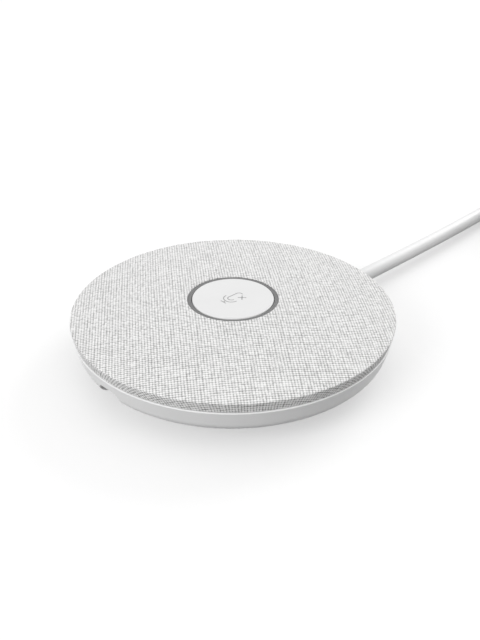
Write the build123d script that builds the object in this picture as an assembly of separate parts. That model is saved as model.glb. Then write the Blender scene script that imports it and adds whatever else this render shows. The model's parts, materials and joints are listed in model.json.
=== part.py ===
"""Table microphone pod: a fabric-covered dome on a shallow bowl, with a mute button and a captive cable.

Millimetres. Origin at the centre of the rubber foot where it stands on the table, +Z up, +Y towards the
cable. The expansion port is at -Y. The pod is round, so most pieces are revolved sections.
"""

import math
import os

from build123d import *

# ---------------------------------------------------------------- driving dimensions: outside
pod_radius = 51.2  # widest point of the fabric edge
total_height = 21.7  # table to the top of the button
fabric_top = 21.7  # fabric beside the light ring, level with the button
dome_radius = 302.0  # crown of the fabric dome
rim_radius = 0.4  # rounding between dome and edge band
seam_radius = 50.4  # fabric meets bowl
seam_height = 14.1
corner_ring = 44.92  # centre of the rounding between the bowl's wall and its underside
corner_height = 10.45
corner_rounding = 4.6
wall_draft = math.radians(15.6)  # the bowl's wall leans in towards its foot
cone_slope = math.radians(25.2)  # underside of the bowl
base_height = 1.0  # flat bottom of the bowl above the table
brim_rounding = 0.3
bowl_wall = 1.8
floor_thickness = 2.0

fabric_thickness = 0.7
frame_wall = 1.6
sound_hole_radius = 1.25
sound_hole_rings = ((20.0, 12), (34.0, 24))  # radius of each ring and its number of holes
clearance = 0.05  # between pieces that touch

# ---------------------------------------------------------------- button
button_radius = 12.85
button_travel = 0.6
button_gap = 0.25
button_edge = 0.35
cap_thickness = 1.6
ring_outer = 14.35
stem_radius = 3.0
stem_bottom = 16.05
guide_top = 17.15
deck_thickness = 1.2
stop_thickness = 0.6
flange_radius = 16.5
flange_thickness = 0.9
skirt_radius = 15.2
switch_well = 0.4

# ---------------------------------------------------------------- circuit board
board_radius = 45.0
board_bottom = 12.4
board_thickness = 1.2
mic_ring = 40.0  # microphones near the edge of the board
mic_height = 1.0
mic_port_radius = 0.8
gasket_radius = 2.4
gasket_height = 0.6
mesh_thickness = 0.2

post_ring = 28.0  # screw posts between bowl and top frame
post_radius = 3.0
post_bottom = 7.0
post_pilot_radius = 1.3
post_pilot_depth = 8.0
post_angle = 45.0
boss_radius = 4.0
screw_seat = 4.2
screw_passage = 1.5
standoff_ring = 21.0  # standoffs under the circuit board
standoff_radius = 2.5
standoff_pilot_radius = 0.95
standoff_angle = 22.5
can_centre = (-3.0, -26.0)  # shield can over the audio processor
can_size = (16.0, 12.0)
can_height = 1.8
can_wall = 0.3
processor_size = 9.0
processor_height = 1.0
controller_size = 7.0
controller_height = 0.9
controller_y = 25.5

# ---------------------------------------------------------------- foot, label, ballast
foot_outer = 33.0
foot_inner = 23.5
foot_top = 1.5
label_radius = 21.0
label_recess = 0.3
ballast_radius = 32.2
ballast_thickness = 2.0
ballast_gap = 0.4  # round each boss and standoff
cable_notch = (10.5, 23.5)  # half width of the ballast's notch, and where it starts from the centre
port_notch = (8.0, 24.0)

# ---------------------------------------------------------------- expansion port at -Y
pocket_wall = 1.4
pocket_corner = 3.4
port_half_width = 4.9
port_pocket_top = 10.8
port_sill = 2.6  # floor of the port's pocket
port_face = 38.5  # mouth of the receptacle from the centre
port_height = 6.2
shell_width = 9.0
shell_height = 3.2
shell_wall = 0.3
shell_depth = 7.3
port_board_thickness = 0.8
port_board_start = 25.0
port_board_end = 35.0
port_board_half_width = 6.5
port_rest_radius = 1.8
port_rest_offset = 4.2
port_back_wall = 0.6

# ---------------------------------------------------------------- cable and its exit at +Y
cable_radius = 2.6
exit_height = 5.9
exit_half_width = 4.8
exit_pocket_top = 10.5
exit_face = 36.0
gland_neck = 3.4
gland_flange = 4.2
gland_flange_thickness = 1.5
gland_root = 3.9
gland_tip = 3.2
gland_end = 57.0
gland_flat = 3.4  # the inner flange is flat below, over the bowl's floor
cable_start = 24.5  # end of the jacket inside the bowl
clamp_seat = 5.2
clamp_start = 26.5
clamp_end = 31.5
clamp_foot = 1.6
clamp_screw_offset = 7.0
clamp_pillar_radius = 2.3
clamp_pilot_radius = 1.05
wire_rise = 20.0  # where the inner wires turn up to the board
wire_plug_bottom = 8.2
header_bottom = 10.4

coil_centre = (29.5, 190.0)
coil_mean_radius = 29.5
coil_columns = 3
coil_layers = 5
coil_turns = 14  # whole turns, before the part turn from the way in to the way out
leave_angle = 5.0  # where the plug's end leaves the coil, from +X
lead_length = 21.0  # straight bit that leaves the coil's outline
tie_thickness = 0.9
tie_width = 9.0

plug_body_height = 6.6
plug_axis_height = plug_body_height / 2  # it lies on the table
boot_length = 16.0
plug_body_length = 18.0
plug_body_width = 11.4
plug_nose_length = 11.0  # slim front of the grip, as long as the port's pocket is deep
plug_nose_width = 9.2
plug_nose_height = 6.0
plug_shell_length = 6.6
plug_shell_width = 8.3
plug_shell_height = 2.5

# ---------------------------------------------------------------- worked-out dimensions
board_top = board_bottom + board_thickness
ring_inner = button_radius + button_gap
dome_centre = fabric_top - math.sqrt(dome_radius**2 - ring_outer**2)
rim_centre_r = pod_radius - rim_radius
rim_centre_z = dome_centre + math.sqrt((dome_radius - rim_radius) ** 2 - rim_centre_r**2)
rim_angle = math.atan2(rim_centre_z - dome_centre, rim_centre_r)
frame_depth = fabric_thickness + clearance
frame_underside = frame_depth + frame_wall
frame_skirt = pod_radius - frame_underside  # inside of the frame's edge
floor_top = base_height + floor_thickness
clamp_middle = (clamp_start + clamp_end) / 2
port_inside_end = shell_depth - port_face - port_back_wall
stop_bottom = guide_top + button_travel + 0.15
stop_top = stop_bottom + stop_thickness
stop_radius = button_radius + 0.8
cap_underside = total_height - cap_thickness
light_gate = stop_radius + button_gap
sleeve_bottom = board_top + mic_height + gasket_height + mesh_thickness

cable_diameter = 2 * cable_radius
coil_half_width = coil_columns * cable_radius
coil_inner = coil_mean_radius - coil_half_width
coil_outer = coil_mean_radius + coil_half_width
coil_turn_radius = coil_outer - cable_radius  # outermost turn
coil_bottom = tie_thickness + clearance
coil_top = coil_bottom + coil_layers * cable_diameter
lead_in_x = coil_centre[0] - coil_turn_radius
lead_in_z = coil_bottom + cable_radius
lead_out_z = coil_top - cable_radius

parts = {}


# ---------------------------------------------------------------- helpers
def loop(*curves):
    """Edges of an outline, in order."""
    return [edge for curve in curves for edge in curve.edges()]


def section(edges):
    """Solid of revolution about Z from edges that close an outline, X as radius and Y as height."""
    return revolve(Plane.XZ * make_face(Wire(edges)), Axis.Z)


def turned(*points):
    """Solid of revolution about Z from a closed outline of (radius, height) points."""
    return section(loop(Polyline(*points, close=True)))


def tube(outer, inner, bottom, top):
    """Upright ring between two heights."""
    return turned((inner, bottom), (outer, bottom), (outer, top), (inner, top))


def disc(radius, bottom, top):
    """Upright cylinder on the Z axis between two heights."""
    return Pos(0, 0, (bottom + top) / 2) * Cylinder(radius, top - bottom)


def block(x0, x1, y0, y1, z0, z1):
    """Box between two corners."""
    return Pos((x0 + x1) / 2, (y0 + y1) / 2, (z0 + z1) / 2) * Box(x1 - x0, y1 - y0, z1 - z0)


def along_y(radius, y0, y1, z):
    """Cylinder along Y between two distances."""
    return Pos(0, (y0 + y1) / 2, z) * Rot(90, 0, 0) * Cylinder(radius, y1 - y0)


def slab(width, height, corner, y0, y1, z):
    """Bar along Y with rounded long edges, between two distances."""
    outline = Plane.XZ * RectangleRounded(width, height, corner)
    return Pos(0, y0, z) * extrude(outline, -(y1 - y0))


def around(shape, ring, count, start):
    """Copies of a shape on a circle about Z, turned with it."""
    return [Rot(0, 0, start + 360 / count * i) * Pos(ring, 0, 0) * shape for i in range(count)]


def cut(shape, tools):
    """The shape with every tool taken away."""
    for tool in tools:
        shape -= tool
    return shape


def join(shape, others):
    """The shape with every other shape fused on."""
    for other in others:
        shape += other
    return shape


def dome_point(radius, depth):
    """Point on the dome's section, a given depth below the fabric's outer face."""
    return (radius, dome_centre + math.sqrt((dome_radius - depth) ** 2 - radius**2))


def dome_arc(r0, r1, depth):
    """Arc along the dome from one radius to another."""
    return ThreePointArc(dome_point(r0, depth), dome_point((r0 + r1) / 2, depth), dome_point(r1, depth))


def rim_point(angle):
    """Point on the fabric's rounded rim, at an angle above horizontal."""
    return (rim_centre_r + rim_radius * math.cos(angle), rim_centre_z + rim_radius * math.sin(angle))


def rim_corner(depth):
    """Sharp corner under the rim, a given depth below the fabric's outer faces."""
    return dome_point(pod_radius - depth, depth)


# ---------------------------------------------------------------- top: fabric and frame
def make_fabric():
    """Woven cover: dome, rounded rim, edge band and the hem tucked under the frame."""
    edge = ring_outer + clearance
    hem_top = seam_height + fabric_thickness
    band_inner = seam_radius - fabric_thickness
    corner = rim_corner(fabric_thickness)
    return section(
        loop(
            dome_arc(edge, rim_point(rim_angle)[0], 0),
            ThreePointArc(rim_point(rim_angle), rim_point(rim_angle / 2), rim_point(0)),
            Line(rim_point(0), (seam_radius, seam_height)),
            Line((seam_radius, seam_height), (frame_skirt, seam_height)),
            Line((frame_skirt, seam_height), (frame_skirt, hem_top)),
            Line((frame_skirt, hem_top), (band_inner, hem_top)),
            Line((band_inner, hem_top), corner),
            dome_arc(edge, corner[0], fabric_thickness),
            Line(dome_point(edge, fabric_thickness), dome_point(edge, 0)),
        )
    )


def make_top_frame():
    """Perforated dome with a button opening, sound ports over the microphones and screw posts."""
    bore = ring_outer + clearance
    corner = rim_corner(frame_depth)
    foot = (seam_radius - frame_depth, seam_height + frame_depth)
    frame = section(
        loop(
            dome_arc(bore, corner[0], frame_depth),
            Line(corner, foot),
            Line(foot, (frame_skirt, foot[1])),
            Line((frame_skirt, foot[1]), dome_point(frame_skirt, frame_underside)),
            dome_arc(bore, frame_skirt, frame_underside),
            Line(dome_point(bore, frame_underside), dome_point(bore, frame_depth)),
        )
    )
    buried = frame_wall / 2
    post_top = dome_point(post_ring + post_radius, frame_underside)[1] + buried
    port_top = dome_point(mic_ring + gasket_radius, frame_underside)[1] + buried
    frame = join(frame, around(disc(post_radius, post_bottom, post_top), post_ring, 4, post_angle))
    frame = join(frame, around(disc(gasket_radius, sleeve_bottom, port_top), mic_ring, 4, 0))
    pilot = disc(post_pilot_radius, post_bottom - 1, post_bottom + post_pilot_depth)
    frame = cut(frame, around(pilot, post_ring, 4, post_angle))
    frame = cut(frame, around(disc(mic_port_radius, board_top, total_height), mic_ring, 4, 0))
    sound_hole = disc(sound_hole_radius, board_top, total_height)
    for ring, count in sound_hole_rings:
        frame = cut(frame, around(sound_hole, ring, count, 180 / count))
    return frame


# ---------------------------------------------------------------- button group
def make_light_ring():
    """Translucent ring: visible lip, flange under the frame and a skirt down to the lamps."""
    lip = total_height - button_edge
    flange_top = dome_point(flange_radius, frame_underside)[1] - clearance
    flange_bottom = flange_top - flange_thickness
    skirt_bottom = board_top + mic_height
    return turned(
        (ring_inner, lip),
        (ring_outer, lip),
        (ring_outer, flange_top),
        (flange_radius, flange_top),
        (flange_radius, flange_bottom),
        (skirt_radius, flange_bottom),
        (skirt_radius, skirt_bottom),
        (light_gate, skirt_bottom),
        (light_gate, stop_top + clearance),
        (ring_inner, stop_top + clearance),
    )


def make_button():
    """Cap with a rounded top edge, a stop flange under the ring and a stem to the switch."""
    cap_wall = 1.4
    cap = turned(
        (0, total_height),
        (button_radius, total_height),
        (button_radius, stop_top),
        (stop_radius, stop_top),
        (stop_radius, stop_bottom),
        (button_radius - cap_wall, stop_bottom),
        (button_radius - cap_wall, cap_underside),
        (stem_radius, cap_underside),
        (stem_radius, stem_bottom),
        (0, stem_bottom),
    )
    top_edge = cap.edges().filter_by(GeomType.CIRCLE).sort_by(Axis.Z)[-1]
    return fillet(top_edge, button_edge)


def make_guide():
    """Guide on the circuit board: a wall inside the lamps, a deck and a bore for the stem."""
    bore = stem_radius + button_gap
    wall_outer = light_gate - 0.15
    wall_inner = wall_outer - deck_thickness
    return turned(
        (wall_outer, board_top + clearance),
        (wall_outer, guide_top),
        (bore, guide_top),
        (bore, guide_top - deck_thickness),
        (wall_inner, guide_top - deck_thickness),
        (wall_inner, board_top + clearance),
    )


def make_return_dome():
    """Silicone cone between the guide's deck and the cap, which lifts the button."""
    wall = 0.6
    low = 8.0
    high = 5.6
    return turned(
        (low, guide_top),
        (low + wall, guide_top),
        (high + wall, cap_underside),
        (high, cap_underside),
    )


def make_switch_body():
    """Square push switch with a well for its plunger."""
    body = block(-3, 3, -3, 3, board_top, stem_bottom - button_travel - clearance)
    return body - disc(1.75, board_top + switch_well, total_height)


def make_switch_plunger():
    """Round plunger, just under the stem."""
    return disc(1.6, board_top + switch_well + button_travel + 0.1, stem_bottom - clearance)


# ---------------------------------------------------------------- electronics
def make_board():
    """Round circuit board with holes for the posts and the board screws."""
    board = disc(board_radius, board_bottom, board_top)
    board = cut(board, around(disc(post_radius + 0.4, 0, total_height), post_ring, 4, post_angle))
    return cut(board, around(disc(1.1, 0, total_height), standoff_ring, 4, standoff_angle))


def on_board(x, y, width, depth, height):
    """Box that stands on the circuit board."""
    return Pos(x, y, board_top + height / 2) * Box(width, depth, height)


def make_microphones():
    """Four small metal cans on the board near its edge."""
    can = on_board(0, 0, 3.5, 2.7, mic_height)
    port = disc(0.3, board_top + mic_height / 2, total_height)
    return around(can - port, mic_ring, 4, 0)


def make_gaskets():
    """Rubber collars that seal each microphone to its sound port."""
    bottom = board_top + mic_height
    return around(tube(gasket_radius, 0.9, bottom, bottom + gasket_height), mic_ring, 4, 0)


def make_dust_meshes():
    """Thin acoustic mesh discs between gasket and sound port."""
    return around(disc(gasket_radius, sleeve_bottom - mesh_thickness, sleeve_bottom), mic_ring, 4, 0)


def make_lamps():
    """Status lamps on the board under the light ring."""
    lamp_ring = (light_gate + skirt_radius) / 2
    return around(on_board(0, 0, 1.2, 1.8, 0.7), lamp_ring, 12, 15)


def make_shield_can():
    """Pressed steel can over the audio processor."""
    width, depth = can_size
    inside = on_board(*can_centre, width - 2 * can_wall, depth - 2 * can_wall, can_height - can_wall)
    return on_board(*can_centre, width, depth, can_height) - inside


def make_audio_processor():
    """Square chip under the shield can."""
    return on_board(*can_centre, processor_size, processor_size, processor_height)


def make_usb_controller():
    """Square chip on the cable side of the board."""
    return on_board(0, controller_y, controller_size, controller_size, controller_height)


def make_capacitors():
    """Row of small capacitors near the edge of the board."""
    first, pitch = 24.0, 2.4
    return [on_board(first + pitch * i, 0, 1.2, 2.0, 1.2) for i in range(4)]


# ---------------------------------------------------------------- bowl
def bowl_outline(offset, bottom, top):
    """Section of the bowl, filled to the axis, moved in by an offset."""
    rounding = corner_rounding - offset

    def corner(angle):
        """Point on the rounding, at an angle below horizontal."""
        return (corner_ring + rounding * math.cos(angle), corner_height - rounding * math.sin(angle))

    low_angle = math.pi / 2 - cone_slope
    low = corner(low_angle)
    middle = corner((low_angle + wall_draft) / 2)
    high = corner(wall_draft)
    toe = (low[0] - (low[1] - bottom) / math.tan(cone_slope), bottom)
    brim = (high[0] + (top - high[1]) * math.tan(wall_draft), top)
    return loop(
        Line((0, bottom), toe),
        Line(toe, low),
        ThreePointArc(low, middle, high),
        Line(high, brim),
        Line(brim, (0, top)),
        Line((0, top), (0, bottom)),
    )


def pocket(half_width, face, low, top):
    """Space in the bowl's wall at -Y, from a face outwards, with rounded corners."""
    outline = Plane.XZ * Pos(0, (low + top) / 2) * RectangleRounded(2 * half_width, top - low, pocket_corner)
    return Pos(0, -face, 0) * extrude(outline, pod_radius)


def at_clamp_screws(shape):
    """Copies of a shape at the clamp's two screws."""
    return [Pos(x, clamp_middle, 0) * shape for x in (-clamp_screw_offset, clamp_screw_offset)]


def make_bowl():
    """Bowl with a foot groove, screw wells, standoffs and pockets for the port and the cable."""
    brim = seam_height - clearance
    solid = section(bowl_outline(0, base_height, brim))
    brim_edge = solid.edges().filter_by(GeomType.CIRCLE).group_by(Axis.Z)[-1]
    solid = fillet(brim_edge, brim_rounding)
    shell = solid - section(bowl_outline(bowl_wall, floor_top, brim + 1))
    buried = floor_top - 0.5
    back = Rot(0, 0, 180)
    bosses = around(disc(boss_radius, buried, post_bottom - clearance), post_ring, 4, post_angle)
    standoffs = around(
        disc(standoff_radius, buried, board_bottom - clearance), standoff_ring, 4, standoff_angle
    )
    pillars = at_clamp_screws(disc(clamp_pillar_radius, buried, clamp_seat - clearance))
    rest_top = port_height - shell_height / 2 - port_board_thickness - clearance
    rest_y = -port_board_start - 2.5
    rests = [
        Pos(x, rest_y, 0) * disc(port_rest_radius, buried, rest_top)
        for x in (-port_rest_offset, port_rest_offset)
    ]
    port_walls_top = port_pocket_top + pocket_wall
    exit_walls_top = exit_pocket_top + pocket_wall
    port_box = pocket(
        port_half_width + pocket_wall, port_face - pocket_wall, -port_walls_top, port_walls_top
    )
    exit_box = pocket(
        exit_half_width + pocket_wall, exit_face - pocket_wall, -exit_walls_top, exit_walls_top
    )
    shell = join(shell, bosses + standoffs + pillars + rests + [solid & port_box, solid & back * exit_box])
    shell -= pocket(port_half_width, port_face, port_sill, port_pocket_top)
    shell -= back * pocket(exit_half_width, exit_face, -exit_pocket_top, exit_pocket_top)
    width = shell_width + 2 * clearance
    height = shell_height + 2 * clearance
    shell -= slab(width, height, 1.6, -port_face - 1, 3 - port_face, port_height)
    shell -= along_y(gland_neck + clearance, exit_face - 3, exit_face + 1, exit_height)
    shell = cut(shell, around(disc(post_radius, 0, screw_seat), post_ring, 4, post_angle))
    shell = cut(shell, around(disc(screw_passage, 0, post_bottom + 1), post_ring, 4, post_angle))
    pilot = disc(standoff_pilot_radius, floor_top + 1, board_bottom + 1)
    shell = cut(shell, around(pilot, standoff_ring, 4, standoff_angle))
    shell = cut(shell, at_clamp_screws(disc(clamp_pilot_radius, floor_top - 1, board_bottom)))
    shell -= tube(foot_outer + clearance, foot_inner - clearance, 0, foot_top + clearance)
    return shell - disc(label_radius + clearance, 0, base_height + label_recess)


def make_foot():
    """Rubber ring that carries the pod and hides the housing screws."""
    foot = tube(foot_outer, foot_inner, 0, foot_top)
    lower = foot.edges().filter_by(GeomType.CIRCLE).group_by(Axis.Z)[0]
    return fillet(lower, 0.4)


def make_label():
    """Blank rating label in a recess of the base."""
    return disc(label_radius, base_height, base_height + label_recess - clearance)


def make_ballast():
    """Steel plate that keeps the pod steady, with holes for bosses and notches for cable and port."""
    top = floor_top + ballast_thickness
    plate = disc(ballast_radius, floor_top, top)
    plate = cut(plate, around(disc(boss_radius + ballast_gap, 0, top), post_ring, 4, post_angle))
    plate = cut(plate, around(disc(standoff_radius + ballast_gap, 0, top), standoff_ring, 4, standoff_angle))
    half_width, start = cable_notch
    plate -= block(-half_width, half_width, start, pod_radius, 0, top)
    half_width, start = port_notch
    return plate - block(-half_width, half_width, -pod_radius, -start, 0, top)


# ---------------------------------------------------------------- screws
def screw(head_radius, head_height, shaft_radius, length):
    """Pan-head screw with a cross recess, shaft up, bearing face at height 0."""
    head = disc(head_radius, -head_height, 0)
    rim = head.edges().filter_by(GeomType.CIRCLE).sort_by(Axis.Z)[0]
    body = fillet(rim, head_height * 0.35) + disc(shaft_radius, 0, length)
    slot = Pos(0, 0, -head_height) * Box(head_radius * 1.1, head_radius * 0.28, head_height)
    return body - slot - Rot(0, 0, 90) * slot


def make_housing_screws():
    """Screws from under the foot into the frame's posts."""
    return around(Pos(0, 0, screw_seat) * screw(2.7, 1.6, 1.25, 10.0), post_ring, 4, post_angle)


def make_board_screws():
    """Screws that hold the board on its standoffs."""
    one = Pos(0, 0, board_top) * Rot(180, 0, 0) * screw(1.9, 1.2, 0.9, 6.0)
    return around(one, standoff_ring, 4, standoff_angle)


# ---------------------------------------------------------------- expansion port
def make_port_shell():
    """Metal shell of the receptacle, open towards -Y."""
    outer = slab(shell_width, shell_height, 1.55, -port_face, shell_depth - port_face, port_height)
    width = shell_width - 2 * shell_wall
    height = shell_height - 2 * shell_wall
    return outer - slab(width, height, 1.25, -port_face - 1, port_inside_end, port_height)


def make_port_tongue():
    """Contact tongue inside the receptacle."""
    return slab(6.6, 0.7, 0.2, 0.9 - port_face, port_inside_end, port_height)


def make_port_board():
    """Small board under the receptacle."""
    top = port_height - shell_height / 2
    half_width = port_board_half_width
    return block(-half_width, half_width, -port_board_end, -port_board_start, top - port_board_thickness, top)


# ---------------------------------------------------------------- cable exit
def make_gland():
    """Rubber gland: a collar behind the wall, a neck, a flange and a tapered nose."""
    behind = exit_face - pocket_wall
    flange_end = exit_face + gland_flange_thickness
    body = along_y(gland_neck, behind, exit_face, exit_height)
    body += along_y(gland_flange, behind - gland_flange_thickness, behind, exit_height)
    body += along_y(gland_flange, exit_face, flange_end, exit_height)
    root = Plane((0, flange_end, exit_height), z_dir=(0, 1, 0)) * Circle(gland_root)
    tip = Plane((0, gland_end, exit_height), z_dir=(0, 1, 0)) * Circle(gland_tip)
    body += loft([root, tip])
    body -= along_y(cable_radius + clearance, behind - 5, gland_end + 5, exit_height)
    start = behind - gland_flange_thickness
    return body - block(-gland_flange, gland_flange, start, behind, 0, gland_flat)


def make_clamp():
    """Saddle over the cable inside the bowl, with two feet for its screws."""
    top = exit_height + cable_radius + 1.4
    slot = cable_radius + clearance
    arch = 4.2
    reach = clamp_screw_offset + 2.5
    body = block(-arch, arch, clamp_start, clamp_end, clamp_seat, top)
    body += block(-reach, reach, clamp_start, clamp_end, clamp_seat, clamp_seat + clamp_foot)
    body -= along_y(slot, clamp_start - 1, clamp_end + 1, exit_height)
    body -= block(-slot, slot, clamp_start - 1, clamp_end + 1, clamp_seat - 1, exit_height)
    return cut(body, at_clamp_screws(disc(1.2, 0, top)))


def make_clamp_screws():
    """Two screws that hold the saddle on its pillars."""
    return at_clamp_screws(Pos(0, 0, clamp_seat + clamp_foot) * Rot(180, 0, 0) * screw(2.1, 1.2, 1.0, 3.6))


def make_wires():
    """Four insulated wires from the cable's end up to the wire plug."""
    wires = []
    for x in (-1.65, -0.55, 0.55, 1.65):
        corners = [(cable_start, exit_height), (wire_rise, exit_height), (wire_rise, wire_plug_bottom)]
        path = FilletPolyline(*[(x, y, z) for y, z in corners], radius=1.2)
        wires.append(sweep(Plane(path @ 0, z_dir=path % 0) * Circle(0.45), path))
    return wires


def make_wire_plug():
    """Plastic plug on the ends of the wires."""
    top = header_bottom - clearance
    return block(-4, 4, wire_rise - 2.4, wire_rise + 2.4, wire_plug_bottom, top)


def make_board_header():
    """Header under the board that takes the wire plug."""
    return block(-5, 5, wire_rise - 3, wire_rise + 3, header_bottom, board_bottom)


# ---------------------------------------------------------------- free cable
def route_tube(points, name):
    """Cable along straight runs joined by arcs as large as the runs allow; prints its radii."""
    corners = [Vector(*p) for p in points]
    runs = [b - a for a, b in zip(corners, corners[1:])]
    radii = []
    for before, after in zip(runs, runs[1:]):
        half_turn = math.radians(before.get_angle(after)) / 2
        radii.append(0.45 * min(before.length, after.length) / math.tan(half_turn))
    path = FilletPolyline(*points, radius=radii)
    body = sweep(Plane(path @ 0, z_dir=path % 0) * Circle(cable_radius), path)
    ideal = math.pi * cable_radius**2 * path.length
    print(name, "radii", [round(r, 1) for r in radii])
    print(name, "length", round(path.length, 1), "volume against section times length", body.volume / ideal)
    return body, path.length


# From the inner end of the jacket out to the coil, nearly straight and settling gently
tube_route = [
    (0, cable_start, exit_height),
    (0, 62, exit_height),
    (-0.9, 103, 5.4),
    (-2.9, 138, 4.6),
    (lead_in_x, 157, lead_in_z + 0.1),
    (lead_in_x, coil_centre[1] - lead_length, lead_in_z),
]

# From the coil down to the plug: distance along the way out, and height
tail_profile = [
    (lead_length, lead_out_z),
    (32, lead_out_z - 0.1),
    (47, 19.5),
    (63, 11.0),
    (77, 5.2),
    (89, 3.5),
    (100, plug_axis_height),
]


def leave_point(distance, z):
    """Point at a distance along the straight way out of the coil."""
    a = math.radians(leave_angle)
    x = coil_centre[0] + coil_turn_radius * math.cos(a) + distance * math.sin(a)
    y = coil_centre[1] + coil_turn_radius * math.sin(a) - distance * math.cos(a)
    return (x, y, z)


def at_way_out(shape, distance, z):
    """A shape modelled along +X from the origin, moved onto the way out of the coil."""
    return Pos(*leave_point(distance, z)) * Rot(0, 0, leave_angle - 90) * shape


def make_coil():
    """Outer shape of the put-away cable: a ring, and the two leads that join it."""
    ring = Pos(*coil_centre, 0) * tube(coil_outer, coil_inner, coil_bottom, coil_top)
    bite = 0.3  # the leads lie this far inside the ring's outline, so that they join it cleanly
    near = coil_centre[1] - lead_length
    lead_in = Pos(lead_in_x + bite, near + lead_length / 2, lead_in_z) * Box(
        cable_diameter, lead_length, cable_diameter
    )
    bar = Pos(lead_length / 2, -bite, 0) * Box(lead_length, cable_diameter, cable_diameter)
    return ring + lead_in + at_way_out(bar, 0, lead_out_z)


def make_ties():
    """Two hook-and-loop bands round the coil, which it rests on."""
    outer = (coil_inner - clearance - tie_thickness, coil_outer + clearance + tie_thickness)
    inner = (coil_inner - clearance, coil_outer + clearance)
    frame = Pos(coil_mean_radius, coil_top / 2 + tie_thickness / 2) * Rectangle(
        outer[1] - outer[0], coil_top + tie_thickness
    )
    frame -= Pos(coil_mean_radius, (coil_bottom + coil_top) / 2) * Rectangle(
        inner[1] - inner[0], coil_top - coil_bottom + 2 * clearance
    )
    turn = math.degrees(tie_width / coil_mean_radius)
    band = revolve(Plane.XZ * frame, Axis.Z, revolution_arc=turn)
    return [Pos(*coil_centre, 0) * Rot(0, 0, angle - turn / 2) * band for angle in (90, 270)]


def lying_bar(width, height, corner, x0, x1):
    """Bar along X with rounded long edges, centred on the axis."""
    return Pos(x0, 0, 0) * extrude(Plane.YZ * RectangleRounded(width, height, corner), x1 - x0)


boot_start = tail_profile[-1][0] - 2.0
boot_end = boot_start + boot_length
plug_body_end = boot_end + plug_body_length + plug_nose_length


def make_plug_boot():
    """Tapered strain relief on the cable's free end."""
    root = Plane((boot_length, 0, 0), z_dir=(1, 0, 0)) * Circle(3.25)
    tip = Plane((0, 0, 0), z_dir=(1, 0, 0)) * Circle(3.0)
    boot = loft([tip, root])
    hole = Rot(0, 90, 0) * Cylinder(cable_radius + clearance, 5)
    return at_way_out(boot - hole, boot_start, plug_axis_height)


def make_plug_body():
    """Moulded grip of the plug, with a slim nose that fits the port's pocket."""
    bar = lying_bar(plug_body_width, plug_body_height, 2.4, 0, plug_body_length)
    ends = bar.edges().group_by(Axis.X)
    bar = fillet(ends[0] + ends[-1], 0.8)
    front = plug_body_length + plug_nose_length
    nose = lying_bar(plug_nose_width, plug_nose_height, 2.4, plug_body_length - 2, front)
    nose = fillet(nose.edges().group_by(Axis.X)[-1], 0.3)
    width = plug_shell_width + 2 * clearance
    height = plug_shell_height + 2 * clearance
    socket = lying_bar(width, height, 1.2, front - 4, front + 1)
    return at_way_out(bar + nose - socket, boot_end, plug_axis_height)


def make_plug_shell():
    """Metal shell of the plug, open at its end and seated in the grip."""
    seat = 3.9
    outer = lying_bar(plug_shell_width, plug_shell_height, 1.2, -seat, plug_shell_length)
    width = plug_shell_width - 2 * shell_wall
    height = plug_shell_height - 2 * shell_wall
    inner = lying_bar(width, height, 0.9, 0.5 - seat, plug_shell_length + 1)
    return at_way_out(outer - inner, plug_body_end, plug_axis_height)


def make_plug_insert():
    """Contact insert inside the plug's shell."""
    width = plug_shell_width - 0.7
    bar = lying_bar(width, plug_shell_height - 0.7, 0.8, -3.3, plug_shell_length - 0.4)
    bar -= lying_bar(width - 1.2, 0.8, 0.3, 0.5, plug_shell_length + 1)
    return at_way_out(bar, plug_body_end, plug_axis_height)


# ---------------------------------------------------------------- build
parts["fabric_cover"] = make_fabric()
parts["top_frame"] = make_top_frame()
parts["light_ring"] = make_light_ring()
parts["mute_button"] = make_button()
parts["button_guide"] = make_guide()
parts["return_dome"] = make_return_dome()
parts["switch_body"] = make_switch_body()
parts["switch_plunger"] = make_switch_plunger()
parts["main_board"] = make_board()
parts["microphones"] = make_microphones()
parts["microphone_gaskets"] = make_gaskets()
parts["dust_meshes"] = make_dust_meshes()
parts["ring_lamps"] = make_lamps()
parts["shield_can"] = make_shield_can()
parts["audio_processor"] = make_audio_processor()
parts["usb_controller"] = make_usb_controller()
parts["capacitors"] = make_capacitors()
parts["bottom_bowl"] = make_bowl()
parts["rubber_foot"] = make_foot()
parts["rating_label"] = make_label()
parts["ballast_plate"] = make_ballast()
parts["housing_screws"] = make_housing_screws()
parts["board_screws"] = make_board_screws()
parts["port_shell"] = make_port_shell()
parts["port_tongue"] = make_port_tongue()
parts["port_board"] = make_port_board()
parts["cable_gland"] = make_gland()
parts["cable_clamp"] = make_clamp()
parts["clamp_screws"] = make_clamp_screws()
parts["inner_wires"] = make_wires()
parts["wire_plug"] = make_wire_plug()
parts["board_header"] = make_board_header()

parts["cable"], run_length = route_tube(tube_route, "cable")
parts["cable_tail"], tail_length = route_tube([leave_point(*p) for p in tail_profile], "cable_tail")
parts["cable_coil"] = make_coil()
parts["cable_ties"] = make_ties()
parts["plug_boot"] = make_plug_boot()
parts["plug_body"] = make_plug_body()
parts["plug_shell"] = make_plug_shell()
parts["plug_insert"] = make_plug_insert()

wound = math.radians(360 * coil_turns + 180 - leave_angle) * coil_mean_radius
print("whole cable", round(run_length + tail_length + wound + 2 * lead_length), "mm")

os.makedirs("parts", exist_ok=True)
for name, shape in parts.items():
    whole = Compound(shape) if isinstance(shape, list) else shape
    export_step(whole, f"parts/{name}.step")
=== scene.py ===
"""Looks of the table microphone pod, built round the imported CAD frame. Blender 4.5, metres, row frame."""

import json
import math

import bmesh
import bpy
import numpy as np
from mathutils import Matrix, Vector


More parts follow.
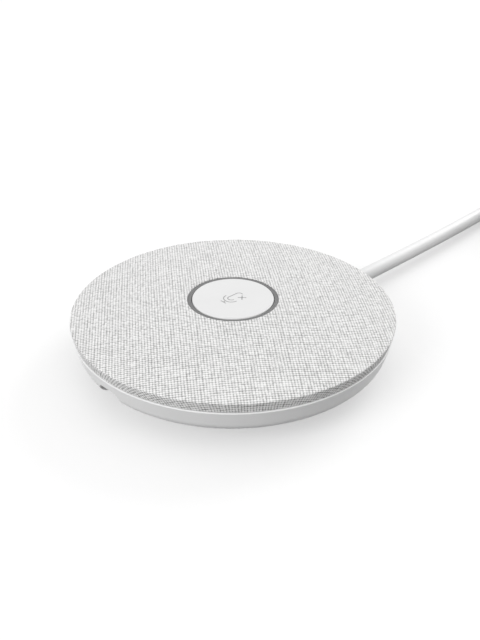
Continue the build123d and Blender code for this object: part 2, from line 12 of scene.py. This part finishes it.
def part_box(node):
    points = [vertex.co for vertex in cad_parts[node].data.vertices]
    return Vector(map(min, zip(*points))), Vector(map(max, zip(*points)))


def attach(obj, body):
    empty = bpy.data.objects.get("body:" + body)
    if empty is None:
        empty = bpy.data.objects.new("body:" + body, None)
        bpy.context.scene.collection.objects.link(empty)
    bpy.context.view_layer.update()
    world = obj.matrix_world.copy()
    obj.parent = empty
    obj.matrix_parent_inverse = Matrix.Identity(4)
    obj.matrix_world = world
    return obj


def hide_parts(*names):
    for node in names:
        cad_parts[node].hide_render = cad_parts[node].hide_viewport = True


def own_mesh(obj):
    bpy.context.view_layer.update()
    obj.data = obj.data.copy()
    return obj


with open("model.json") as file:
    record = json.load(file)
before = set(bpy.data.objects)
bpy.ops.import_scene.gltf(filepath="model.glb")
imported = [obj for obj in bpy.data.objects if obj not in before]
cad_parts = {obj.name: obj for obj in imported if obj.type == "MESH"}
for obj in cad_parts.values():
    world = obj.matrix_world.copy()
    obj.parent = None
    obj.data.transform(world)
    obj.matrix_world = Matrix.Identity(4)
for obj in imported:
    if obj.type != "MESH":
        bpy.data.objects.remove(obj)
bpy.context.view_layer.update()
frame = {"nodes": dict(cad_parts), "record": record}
MM = 0.001

# ---------------------------------------------------------------- camera
CAMERA_TURN = math.radians(46.6)  # heading of the view, from +Y towards -X
CAMERA_PITCH = math.radians(30.6)
CAMERA_BACK = 245.1 * MM
CAMERA_SIDE = 2.2 * MM
CAMERA_HEIGHT = 158.5 * MM
CAMERA_LENS = 50.2


def make_camera():
    data = bpy.data.cameras.new("camera")
    data.lens = CAMERA_LENS
    data.sensor_width = 36.0
    camera = bpy.data.objects.new("camera", data)
    camera.rotation_euler = (math.pi / 2 - CAMERA_PITCH, 0, CAMERA_TURN)
    place = Vector((CAMERA_SIDE, -CAMERA_BACK, CAMERA_HEIGHT))
    camera.location = Matrix.Rotation(CAMERA_TURN, 3, "Z") @ place
    bpy.context.scene.collection.objects.link(camera)
    bpy.context.scene.camera = camera


make_camera()


# ---------------------------------------------------------------- shader helpers
NOISE_ROUGHNESS = 0.55  # weight of the noise's finer layers


class Shader:
    """A node material with short calls for the nodes that every finish here uses."""

    def __init__(self, name):
        self.material = bpy.data.materials.new(name)
        self.material.use_nodes = True
        self.tree = self.material.node_tree
        self.surface = self.tree.nodes["Principled BSDF"]
        self.place = self.node("ShaderNodeTexCoord").outputs["Object"]

    def node(self, kind, **settings):
        made = self.tree.nodes.new(kind)
        for key, value in settings.items():
            setattr(made, key, value)
        return made

    def link(self, source, target):
        self.tree.links.new(source, target)

    def value(self, socket, value):
        """Gives a socket a number, a colour or another node's output."""
        if isinstance(value, bpy.types.NodeSocket):
            self.link(value, socket)
        else:
            socket.default_value = value

    def set(self, **inputs):
        for key, value in inputs.items():
            self.value(self.surface.inputs[key.replace("_", " ")], value)
        return self

    def noise(self, size, detail, stretch=None):
        """Noise whose features are about size metres, from 0 to 1."""
        texture = self.node("ShaderNodeTexNoise")
        texture.inputs["Scale"].default_value = 1 / size
        texture.inputs["Detail"].default_value = detail
        texture.inputs["Roughness"].default_value = NOISE_ROUGHNESS
        source = self.place
        if stretch:
            mapping = self.node("ShaderNodeMapping")
            mapping.inputs["Scale"].default_value = stretch
            self.link(source, mapping.inputs["Vector"])
            source = mapping.outputs["Vector"]
        self.link(source, texture.inputs["Vector"])
        return texture.outputs["Fac"]

    def span(self, source, low, high, start=0.3, end=0.7):
        """A source between start and end, as a number from low to high."""
        ramp = self.node("ShaderNodeMapRange")
        self.link(source, ramp.inputs["Value"])
        for key, value in (("From Min", start), ("From Max", end), ("To Min", low), ("To Max", high)):
            ramp.inputs[key].default_value = value
        return ramp.outputs["Result"]

    def mix(self, factor, first, second):
        """A colour between two colours."""
        blend = self.node("ShaderNodeMix", data_type="RGBA")
        self.value(blend.inputs["Factor"], factor)
        self.value(blend.inputs["A"], first)
        self.value(blend.inputs["B"], second)
        return blend.outputs["Result"]

    def bump(self, source, depth):
        """Relief of a depth in metres."""
        relief = self.node("ShaderNodeBump")
        relief.inputs["Strength"].default_value = 1.0
        relief.inputs["Distance"].default_value = depth
        self.link(source, relief.inputs["Height"])
        self.link(relief.outputs["Normal"], self.surface.inputs["Normal"])
        return self


def grey(level, warmth=0.0):
    """A nearly neutral colour."""
    return (level * (1 + warmth), level, level * (1 - warmth), 1)


# ---------------------------------------------------------------- finishes
def moulded(name, level, warmth=0.0, roughness=0.5, grain=0.25 * MM, relief=0.006 * MM):
    """Moulded plastic with a fine spark-eroded grain and a faint unevenness of tone."""
    shader = Shader(name)
    tone = shader.span(shader.noise(14 * MM, 3), 0, 1)
    colour = shader.mix(tone, grey(level * 0.985, warmth), grey(level * 1.015, warmth))
    rough = shader.span(shader.noise(2 * MM, 5), roughness - 0.05, roughness + 0.05)
    shader.set(Base_Color=colour, Roughness=rough, IOR=1.46)
    return shader.bump(shader.noise(grain, 3), relief).material


def rubbery(name, level, warmth=0.0):
    """Matte rubber with a soft sheen."""
    shader = Shader(name)
    colour = shader.mix(shader.noise(3 * MM, 6), grey(level * 0.9, warmth), grey(level * 1.1, warmth))
    shader.set(Base_Color=colour, Roughness=0.72, Sheen_Weight=0.15, Sheen_Roughness=0.6)
    return shader.bump(shader.noise(0.3 * MM, 4), 0.01 * MM).material


def metallic(name, level, warmth=0.0, roughness=0.35, stretch=(1, 30, 1)):
    """Rolled sheet metal with fine drawn streaks."""
    shader = Shader(name)
    streaks = shader.noise(1.2 * MM, 5, stretch=stretch)
    colour = shader.mix(streaks, grey(level * 0.88, warmth), grey(level * 1.08, warmth))
    rough = shader.span(streaks, roughness - 0.08, roughness + 0.08)
    shader.set(Base_Color=colour, Metallic=1.0, Roughness=rough)
    return shader.bump(streaks, 0.004 * MM).material


def circuit_board():
    """Green solder mask with a faint pattern of tracks."""
    shader = Shader("circuit_board")
    tracks = shader.node("ShaderNodeTexVoronoi", feature="DISTANCE_TO_EDGE", distance="MANHATTAN")
    tracks.inputs["Scale"].default_value = 1 / (3.2 * MM)
    shader.link(shader.place, tracks.inputs["Vector"])
    line = shader.span(tracks.outputs["Distance"], 1, 0, 0.03, 0.06)
    colour = shader.mix(line, (0.008, 0.09, 0.045, 1), (0.02, 0.2, 0.1, 1))
    shader.set(Base_Color=colour, Roughness=0.3, Coat_Weight=0.4)
    return shader.bump(line, 0.03 * MM).material


def woven_strap():
    """Black hook-and-loop strap: dense fuzzy loops."""
    shader = Shader("tie_strap")
    loops = shader.node("ShaderNodeTexVoronoi", feature="F1")
    loops.inputs["Scale"].default_value = 1 / (0.5 * MM)
    shader.link(shader.place, loops.inputs["Vector"])
    colour = shader.mix(loops.outputs["Distance"], grey(0.06), grey(0.02))
    shader.set(Base_Color=colour, Roughness=0.9, Sheen_Weight=0.5)
    return shader.bump(loops.outputs["Distance"], 0.1 * MM).material


def dust_mesh():
    """Fine black acoustic mesh."""
    shader = Shader("dust_mesh")
    cells = shader.node("ShaderNodeTexVoronoi", feature="DISTANCE_TO_EDGE")
    cells.inputs["Scale"].default_value = 1 / (0.15 * MM)
    shader.link(shader.place, cells.inputs["Vector"])
    colour = shader.mix(shader.span(cells.outputs["Distance"], 1, 0, 0.05, 0.2), grey(0.01), grey(0.12))
    shader.set(Base_Color=colour, Roughness=0.8)
    return shader.bump(cells.outputs["Distance"], 0.03 * MM).material


def light_diffuser():
    """Smoky translucent plastic of the light ring, lamps off."""
    shader = Shader("light_diffuser")
    haze = shader.noise(0.8 * MM, 5)
    colour = shader.mix(haze, grey(0.17), grey(0.20))
    shader.set(Base_Color=colour, Roughness=0.42, IOR=1.49)
    shader.set(Subsurface_Weight=0.3, Subsurface_Radius=(0.4 * MM, 0.4 * MM, 0.4 * MM), Subsurface_Scale=1.0)
    return shader.bump(shader.noise(0.2 * MM, 2), 0.004 * MM).material


def printed_ink():
    """Grey pad-printed ink."""
    shader = Shader("printed_ink")
    shader.set(Base_Color=shader.mix(shader.noise(0.3 * MM, 4), grey(0.30), grey(0.38)), Roughness=0.55)
    return shader.material


YARN_DARK = 0.17
YARN_LIGHT = 0.98


def woven_yarn():
    """Melange yarn: tone and painted shade between the yarns from the weave's own attribute, fibre streaks
    along it, and a soft sheen.
    """
    shader = Shader("woven_yarn")
    tone = shader.node("ShaderNodeAttribute", attribute_name="yarn_tone_and_shade")
    colour = shader.mix(tone.outputs["Fac"], grey(YARN_DARK, 0.006), grey(YARN_LIGHT, 0.004))
    fibres = shader.noise(0.09 * MM, 3)
    colour = shader.mix(shader.span(fibres, 0, 0.18), colour, grey(YARN_DARK * 0.8))
    shader.set(Base_Color=colour, Roughness=0.85, Sheen_Weight=0.25, Sheen_Roughness=0.5)
    return shader.bump(fibres, 0.03 * MM).material


finishes = {
    "dark_plastic": moulded("dark_plastic", 0.05, roughness=0.6),
    "diffuser": light_diffuser(),
    "white_plastic": moulded("white_plastic", 0.775, roughness=0.45, grain=0.35 * MM, relief=0.004 * MM),
    "grey_plastic": moulded("grey_plastic", 0.87, roughness=0.42, grain=0.3 * MM, relief=0.006 * MM),
    "silicone": rubbery("silicone", 0.6),
    "black_plastic": moulded("black_plastic", 0.025, roughness=0.45),
    "circuit_board": circuit_board(),
    "tinned_steel": metallic("tinned_steel", 0.72, 0.01, 0.28),
    "plate_steel": metallic("plate_steel", 0.5, 0.0, 0.4),
    "screw_steel": metallic("screw_steel", 0.55, 0.01, 0.33, (1, 1, 1)),
    "rubber": rubbery("rubber", 0.04),
    "white_rubber": rubbery("white_rubber", 0.74),
    "dust_mesh": dust_mesh(),
    "lamp_package": moulded("lamp_package", 0.75, 0.12, roughness=0.25),
    "ceramic": moulded("ceramic", 0.35, 0.25, roughness=0.6),
    "label_film": moulded("label_film", 0.55, roughness=0.5),
    "wire_insulation": moulded("wire_insulation", 0.3, 0.5, roughness=0.35),
    "cable_jacket": moulded("cable_jacket", 0.82, roughness=0.38, grain=0.6 * MM, relief=0.008 * MM),
    "tie_strap": woven_strap(),
    "plug_plastic": moulded("plug_plastic", 0.76, roughness=0.45),
    "woven_fabric": woven_yarn(),
}

for part in frame["record"]["subparts"]:
    node = frame["nodes"][part["node"]]
    node.data.materials.clear()
    node.data.materials.append(finishes[part["material_slot"]])


# ---------------------------------------------------------------- small tools
def piece(name, mesh, finish, body):
    """A new object of a mesh with a finish, riding on a body."""
    made = bpy.data.objects.new(name, mesh)
    bpy.context.scene.collection.objects.link(made)
    mesh.materials.append(finish)
    mesh.polygons.foreach_set("use_smooth", [True] * len(mesh.polygons))
    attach(made, body)
    return made


def arc_points(centre, radius, start, end, count=24):
    """Points on an arc in a plane, with the angles from its first axis."""
    angles = np.linspace(start, end, count)
    return [(centre[0] + radius * math.cos(a), centre[1] + radius * math.sin(a)) for a in angles]


# ---------------------------------------------------------------- cable
CABLE_DIAMETER = 5.2 * MM
COIL_CENTRE = (29.5, 190.0)
COIL_MEAN = 29.5
COIL_TURNS = 14
COIL_FLOOR = 0.95
LEAVE_ANGLE = math.radians(5.0)
POINTS_PER_TURN = 16
STEP_SHARE = 0.25  # share of a turn in which the cable moves to its next place in the coil
STEP_PACE = 1.6  # it rises first, then shifts sideways, and the two overlap

# The same route as the CAD tube's, in millimetres
tube_route = [
    (0, 24.5, 5.9),
    (0, 62, 5.9),
    (-0.9, 103, 5.4),
    (-2.9, 138, 4.6),
    (-5.2, 157, 3.65),
    (-5.2, 169, 3.55),
]
# Distance along the straight way out of the coil, and height
tail_profile = [(21, 24.35), (32, 24.25), (47, 19.5), (63, 11.0), (77, 5.2), (89, 3.5), (100, 3.3)]
# Column from the inside out, and layer, of each turn
coil_places = [(2, 0), (1, 0), (0, 0), (0, 1), (1, 1), (2, 1), (2, 2), (1, 2), (0, 2)]
coil_places += [(0, 3), (1, 3), (2, 3), (0, 4), (1, 4), (2, 4)]


def eased(share):
    return share * share * (3 - 2 * share)


def coil_points():
    """The wound turns, clockwise from the way in to the way out, one place after another."""
    pitch = CABLE_DIAMETER / MM
    whole = COIL_TURNS + (math.pi - LEAVE_ANGLE) / (2 * math.pi)
    steps = round(whole * POINTS_PER_TURN)
    # The spline runs inside its control points, so those on the turns stand out by the same share
    stand_out = 1 / math.cos(math.pi / POINTS_PER_TURN)
    points = []
    for i in range(steps + 1):
        turns = whole * i / steps
        index = min(int(turns), len(coil_places) - 1)
        following = min(index + 1, len(coil_places) - 1)
        late = max(0.0, (turns - index - 1 + STEP_SHARE) / STEP_SHARE)
        rise = eased(min(1.0, late * STEP_PACE))
        shift = eased(max(0.0, late * STEP_PACE - (STEP_PACE - 1)))
        here, there = coil_places[index], coil_places[following]
        column = here[0] + (there[0] - here[0]) * shift
        layer = here[1] + (there[1] - here[1]) * rise
        radius = COIL_MEAN + (column - 1) * pitch
        if 0 < i < steps:
            radius *= stand_out
        angle = math.pi - 2 * math.pi * turns
        points.append(
            (
                COIL_CENTRE[0] + radius * math.cos(angle),
                COIL_CENTRE[1] + radius * math.sin(angle),
                COIL_FLOOR + (layer + 0.5) * pitch,
            )
        )
    return points


def leave_point(distance, z):
    """Point at a distance along the straight way out of the coil."""
    radius = COIL_MEAN + CABLE_DIAMETER / MM
    return (
        COIL_CENTRE[0] + radius * math.cos(LEAVE_ANGLE) + distance * math.sin(LEAVE_ANGLE),
        COIL_CENTRE[1] + radius * math.sin(LEAVE_ANGLE) - distance * math.cos(LEAVE_ANGLE),
        z,
    )


def make_cable():
    route = tube_route + coil_points() + [leave_point(*p) for p in tail_profile]
    curve = bpy.data.curves.new("captive_cable", "CURVE")
    curve.dimensions = "3D"
    spline = curve.splines.new("NURBS")
    spline.points.add(len(route) - 1)
    for control, spot in zip(spline.points, route):
        control.co = (*(c * MM for c in spot), 1)
    spline.order_u = 3
    spline.use_endpoint_u = True
    spline.resolution_u = 4
    curve.bevel_depth = CABLE_DIAMETER / 2
    curve.bevel_resolution = 6
    curve.use_fill_caps = True
    cable = bpy.data.objects.new("captive_cable", curve)
    bpy.context.scene.collection.objects.link(cable)
    curve.materials.append(finishes["cable_jacket"])
    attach(cable, "pod")
    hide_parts("cable", "cable_tail", "cable_coil")


make_cable()


# ---------------------------------------------------------------- woven cover
# Section of the cover's outer face, in millimetres, as in the CAD model
DOME_RADIUS = 302.0
FABRIC_TOP = 21.7
RING_OUTER = 14.35
RING_GAP = 0.05
POD_RADIUS = 51.2
RIM_RADIUS = 0.4
SEAM_RADIUS = 50.4
SEAM_HEIGHT = 14.1
HEM_DEPTH = 1.4
EDGE_ROUND = 0.2  # the cover's turned edges
INNER_TUCK = 0.6  # the cover turns down beside the light ring

YARN_PITCH = 0.87
SAMPLES_PER_YARN = 4
WEAVE_TURN = math.radians(6)  # warp direction from the view's heading
CRIMP = 0.09  # how far a yarn rises and dips
YARN_ROUND = 0.12  # how far a yarn's crown stands above its sides
WARP_LIFT = 0.03  # the warp lies a little higher than the weft
# Painted shade between the yarns: the tone is lightest on the crowns and darker in the gaps between them
YARN_BRIGHT = 1.10  # tone on a yarn's crown, where no painted shade is taken off
WARP_GAP_SHADE = 0.52  # painted shade: how much darker the cloth is between warp yarns
WEFT_GAP_SHADE = 0.56
YARN_TONE = 0.02  # uneven dye, from yarn to yarn and along each yarn
SLUB_TONE = 0.19
SLUB_LENGTH = 0.45
WANDER_LENGTH = 3.0
WANDER = 0.10  # sideways drift, as a share of the pitch
CALM_WIDTH = 0.5  # the weave is pressed flat this near to the light ring
EDGE_SHADE_CONTRAST = 0.45  # painted shade over the edge: the gaps between the yarns are painted darker and the crowns lighter
EDGE_TONE = 0.5  # tone that stays as it is there
EDGE_WIDTH = 0.6
NORMAL_REACH = 0.05  # half of the stretch over which the section's slope is taken
WEAVE_SEED = 7

dome_centre = FABRIC_TOP - math.sqrt(DOME_RADIUS**2 - RING_OUTER**2)
rim_centre = (
    POD_RADIUS - RIM_RADIUS,
    dome_centre + math.sqrt((DOME_RADIUS - RIM_RADIUS) ** 2 - (POD_RADIUS - RIM_RADIUS) ** 2),
)
rim_start = math.atan2(rim_centre[1] - dome_centre, rim_centre[0])


def cover_section():
    """Points (radius, height) along the cover's outer face from the light ring to the hem."""
    inner = RING_OUTER + RING_GAP
    points = [(inner, FABRIC_TOP - INNER_TUCK)]
    points += arc_points((inner + EDGE_ROUND, FABRIC_TOP - EDGE_ROUND), EDGE_ROUND, math.pi, math.pi / 2, 5)
    rim_edge = rim_centre[0] + RIM_RADIUS * math.cos(rim_start)
    for radius in np.linspace(inner + 2 * EDGE_ROUND, rim_edge, 60)[:-1]:
        points.append((radius, dome_centre + math.sqrt(DOME_RADIUS**2 - radius**2)))
    points += arc_points(rim_centre, RIM_RADIUS, rim_start, 0, 12)
    low = SEAM_HEIGHT + EDGE_ROUND
    points += arc_points((SEAM_RADIUS - EDGE_ROUND, low), EDGE_ROUND, 0, -math.pi / 2, 5)
    points.append((SEAM_RADIUS - HEM_DEPTH, SEAM_HEIGHT))
    return np.array(points)


def sample_rows(knots, row, place):
    """Smoothly blended value of each row's knots at a place counted in knots."""
    place = np.clip(place, 0, knots.shape[1] - 2)
    low = place.astype(int)
    share = (1 - np.cos((place - low) * np.pi)) / 2
    return knots[row, low] * (1 - share) + knots[row, low + 1] * share


def yarns(across, along, half, lift, sign, rng):
    """Height, crown and dye of one set of yarns at flat cloth places, in millimetres."""
    count = int(2 * half / YARN_PITCH) + 2

    def knots(spacing):
        return rng.uniform(-1, 1, (count, int(2 * half / spacing) + 3))

    slub, wander = knots(SLUB_LENGTH), knots(WANDER_LENGTH)
    dye = rng.uniform(-1, 1, count)
    spot = along + half
    place = (across + half) / YARN_PITCH
    row = np.clip(np.round(place).astype(int), 0, count - 1)
    offset = place - row - WANDER * sample_rows(wander, row, spot / WANDER_LENGTH)
    crown = np.cos(np.pi * offset)
    height = lift + CRIMP * sign * np.cos(np.pi * (spot / YARN_PITCH - row)) + YARN_ROUND * (crown - 1)
    return height, crown, YARN_TONE * dye[row] + SLUB_TONE * sample_rows(slub, row, spot / SLUB_LENGTH)


def weave(u, v, rng):
    """Height above the cloth's middle, and tone with painted shade between the yarns, of a plain weave at
    flat cloth places, in millimetres.
    """
    half = np.abs(u).max() + YARN_PITCH * 2
    warp, warp_crown, warp_dye = yarns(u, v, half, WARP_LIFT, 1, rng)
    weft, weft_crown, weft_dye = yarns(v, u, half, 0.0, -1, rng)
    # Painted shade: the tone is taken down between the yarns, most where both sets leave a gap
    gap_shade = WARP_GAP_SHADE * (1 - warp_crown) + WEFT_GAP_SHADE * (1 - weft_crown)
    return np.maximum(warp, weft), YARN_BRIGHT + np.where(warp > weft, warp_dye, weft_dye) - gap_shade


def cloth_grid(inner_flat, reach):
    """Flat places u and v of the cloth's points between two radii, and the corners of its quads."""
    step = YARN_PITCH / SAMPLES_PER_YARN
    half = math.ceil(reach / step) + 1
    line = np.arange(-half, half + 1) * step
    u, v = np.meshgrid(line, line, indexing="ij")
    flat = np.hypot(u, v)
    margin = 0.7 * step
    inside = (flat > inner_flat - margin) & (flat < reach + margin)
    keep = inside[:-1, :-1] & inside[1:, :-1] & inside[1:, 1:] & inside[:-1, 1:]
    used = np.zeros(u.shape, bool)
    for di, dj in ((0, 0), (1, 0), (1, 1), (0, 1)):
        used[di : di + keep.shape[0], dj : dj + keep.shape[1]] |= keep
    number = -np.ones(u.shape, int)
    number[used] = np.arange(used.sum())
    corners = [number[:-1, :-1], number[1:, :-1], number[1:, 1:], number[:-1, 1:]]
    return u[used], v[used], np.stack([c[keep] for c in corners], axis=1)


def section_frame(section, lengths, travelled):
    """Radius, height and outward normal of the section at distances along it."""

    def at(distance):
        distance = np.clip(distance, 0, lengths[-1])
        return np.interp(distance, lengths, section[:, 0]), np.interp(distance, lengths, section[:, 1])

    radius, z = at(travelled)
    ahead, behind = at(travelled + NORMAL_REACH), at(travelled - NORMAL_REACH)
    run_r, run_z = ahead[0] - behind[0], ahead[1] - behind[1]
    run = np.hypot(run_r, run_z)
    return radius, z, -run_z / run, run_r / run


def make_cover():
    """The cover: a flat woven sheet laid over the dome, the edge and the hem."""
    section = cover_section()
    lengths = np.concatenate([[0], np.cumsum(np.hypot(*np.diff(section, axis=0).T))])
    inner_flat = section[0][0] - INNER_TUCK
    reach = inner_flat + lengths[-1]
    u, v, quads = cloth_grid(inner_flat, reach)
    flat = np.hypot(u, v)
    height, tone = weave(u, v, np.random.default_rng(WEAVE_SEED))
    travelled = np.clip(flat - inner_flat, 0, lengths[-1])
    over_edge = np.clip((travelled - lengths[np.argmax(section[:, 0])]) / EDGE_WIDTH, 0, 1)
    # Painted shade over the edge: the gaps get darker and the crowns lighter
    tone += EDGE_SHADE_CONTRAST * over_edge * (tone - EDGE_TONE)
    calm = np.clip((flat - inner_flat - INNER_TUCK) / CALM_WIDTH, 0, 1)
    lift = (height - CRIMP - WARP_LIFT) * calm
    radius, z, normal_r, normal_z = section_frame(section, lengths, travelled)
    radius = radius + lift * normal_r
    z = z + lift * normal_z
    heading = np.arctan2(v, u) + CAMERA_TURN + WEAVE_TURN
    spots = np.stack([radius * np.cos(heading), radius * np.sin(heading), z], axis=1) * MM
    mesh = bpy.data.meshes.new("woven_cover")
    mesh.vertices.add(len(spots))
    mesh.vertices.foreach_set("co", spots.ravel())
    mesh.loops.add(quads.size)
    mesh.loops.foreach_set("vertex_index", quads.ravel())
    mesh.polygons.add(len(quads))
    mesh.polygons.foreach_set("loop_start", np.arange(0, quads.size, 4))
    mesh.update(calc_edges=True)
    mesh.validate()
    layer = mesh.attributes.new("yarn_tone_and_shade", "FLOAT", "POINT")
    layer.data.foreach_set("value", np.clip(tone, 0, 1).astype(np.float32))
    cover = piece("woven_cover", mesh, finishes["woven_fabric"], "pod")
    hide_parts("fabric_cover")


make_cover()


# ---------------------------------------------------------------- return dome
def make_return_dome():
    """The silicone dome: a copy of the CAD part's mesh with the silicone finish, riding on the pod."""
    hard_dome = frame["nodes"]["return_dome"]
    mesh = hard_dome.data.copy()
    mesh.transform(hard_dome.matrix_world)
    mesh.materials.clear()
    dome = piece("soft_dome", mesh, finishes["silicone"], "pod")
    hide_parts("return_dome")
    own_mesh(dome)


make_return_dome()


# ---------------------------------------------------------------- mute sign
SIGN_STROKE = 0.30
SIGN_THICKNESS = 0.02
OPEN_ANGLE = math.radians(62)  # the head's outline stops here, beside the cross


def stroke(bm, path, z):
    """A flat printed line of even width along a path, in millimetres."""
    path = [Vector(p) for p in path]
    sides = []
    for i, spot in enumerate(path):
        heading = (path[min(i + 1, len(path) - 1)] - path[max(i - 1, 0)]).normalized()
        across = Vector((-heading.y, heading.x)) * SIGN_STROKE / 2
        sides.append([spot + across, spot - across])
    rows = [
        [bm.verts.new((p.x * MM, p.y * MM, h * MM)) for h in (z, z + SIGN_THICKNESS) for p in pair]
        for pair in sides
    ]
    for a, b in zip(rows, rows[1:]):
        for i, j in ((0, 1), (1, 3), (3, 2), (2, 0)):
            bm.faces.new((a[i], a[j], b[j], b[i]))
    for end in (rows[0], rows[-1]):
        bm.faces.new((end[0], end[1], end[3], end[2]))


def make_mute_sign():
    """A plain microphone with a cross beside its head."""
    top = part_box("mute_button")[1].z / MM
    head = (-0.1, 2.7)
    low = -0.6
    width = 1.15
    left = [(head[0] - width, low)] + arc_points(head, width, math.pi, OPEN_ANGLE)
    right = arc_points((head[0], low), width, 2 * math.pi, math.pi)
    cradle_radius = 2.45
    cradle = arc_points((head[0], low), cradle_radius, math.pi, 2 * math.pi)
    stem_end = low - 3.4
    base_height = low - 3.45
    base_reach = 1.2
    cross = (1.9, 2.1)
    arm = 0.95
    bm = bmesh.new()
    for path in (
        left,
        right,
        cradle,
        [(head[0], low - cradle_radius), (head[0], stem_end)],
        [(head[0] - base_reach, base_height), (head[0] + base_reach, base_height)],
        [(cross[0] - arm, cross[1] - arm), (cross[0] + arm, cross[1] + arm)],
        [(cross[0] - arm, cross[1] + arm), (cross[0] + arm, cross[1] - arm)],
    ):
        stroke(bm, path, top)
    bmesh.ops.recalc_face_normals(bm, faces=bm.faces)
    mesh = bpy.data.meshes.new("mute_sign")
    bm.to_mesh(mesh)
    bm.free()
    sign = piece("mute_sign", mesh, printed_ink(), "button")


make_mute_sign()


# ---------------------------------------------------------------- floor and light
FLOOR_REACH = 60.0
FLOOR_GREY = 0.58
FLOOR_GLOW = 0.43
WORLD_BELOW = 0.05
WORLD_HORIZON = 1.02
WORLD_ZENITH = 0.66
BELOW_HEIGHT = -0.06  # height of a direction, from -1 straight down to 1 straight up
HORIZON_HEIGHT = -0.01
LIGHT_SIZE = 0.7


def make_floor():
    reach = FLOOR_REACH
    mesh = bpy.data.meshes.new("floor")
    corners = [(-reach, -reach, 0), (reach, -reach, 0), (reach, reach, 0), (-reach, reach, 0)]
    mesh.from_pydata(corners, [], [(0, 1, 2, 3)])
    floor = bpy.data.objects.new("floor", mesh)
    bpy.context.scene.collection.objects.link(floor)
    shader = Shader("floor")
    colour = shader.mix(shader.noise(60 * MM, 3), grey(FLOOR_GREY - 0.005), grey(FLOOR_GREY + 0.005))
    shader.set(Base_Color=colour, Roughness=0.9, Specular_IOR_Level=0.1)
    shader.set(Emission_Color=grey(1.0), Emission_Strength=FLOOR_GLOW)
    mesh.materials.append(shader.material)
    # The floor glows like a light table. Diffuse rays pass it, so the light from below is the world's
    floor.visible_diffuse = False


def view_point(right, back, up):
    """A point given to the right of, behind and above the pod as the camera sees it, in metres."""
    return Matrix.Rotation(CAMERA_TURN, 3, "Z") @ Vector((right, back, up))


def make_light(name, place, power):
    data = bpy.data.lights.new(name, "AREA")
    data.shape = "DISK"
    data.size = LIGHT_SIZE
    data.energy = power
    light = bpy.data.objects.new(name, data)
    light.location = place
    light.rotation_euler = (-place).to_track_quat("-Z", "Y").to_euler()
    bpy.context.scene.collection.objects.link(light)


def make_world():
    """Soft room light: dim from below, brighter from the horizon up to the zenith."""
    world = bpy.data.worlds.new("studio")
    world.use_nodes = True
    nodes, links = world.node_tree.nodes, world.node_tree.links
    direction = nodes.new("ShaderNodeTexCoord").outputs["Generated"]
    height = nodes.new("ShaderNodeSeparateXYZ")
    links.new(direction, height.inputs[0])
    ramp = nodes.new("ShaderNodeValToRGB")
    stops = ramp.color_ramp.elements
    stops[0].position = (1 + BELOW_HEIGHT) / 2
    stops[0].color = grey(WORLD_BELOW)
    stops[1].position = 1.0
    stops[1].color = grey(WORLD_ZENITH)
    horizon = stops.new((1 + HORIZON_HEIGHT) / 2)
    horizon.color = grey(WORLD_HORIZON)
    place = nodes.new("ShaderNodeMapRange")
    place.inputs["From Min"].default_value = -1.0
    links.new(height.outputs["Z"], place.inputs["Value"])
    links.new(place.outputs["Result"], ramp.inputs["Fac"])
    links.new(ramp.outputs["Color"], nodes["Background"].inputs["Color"])
    bpy.context.scene.world = world


make_floor()
make_world()
make_light("front_left", view_point(-0.7, -0.7, 0.5), 5.0)
make_light("back_right", view_point(0.65, 0.75, 0.45), 4.7)
bpy.context.scene.view_settings.view_transform = "Standard"
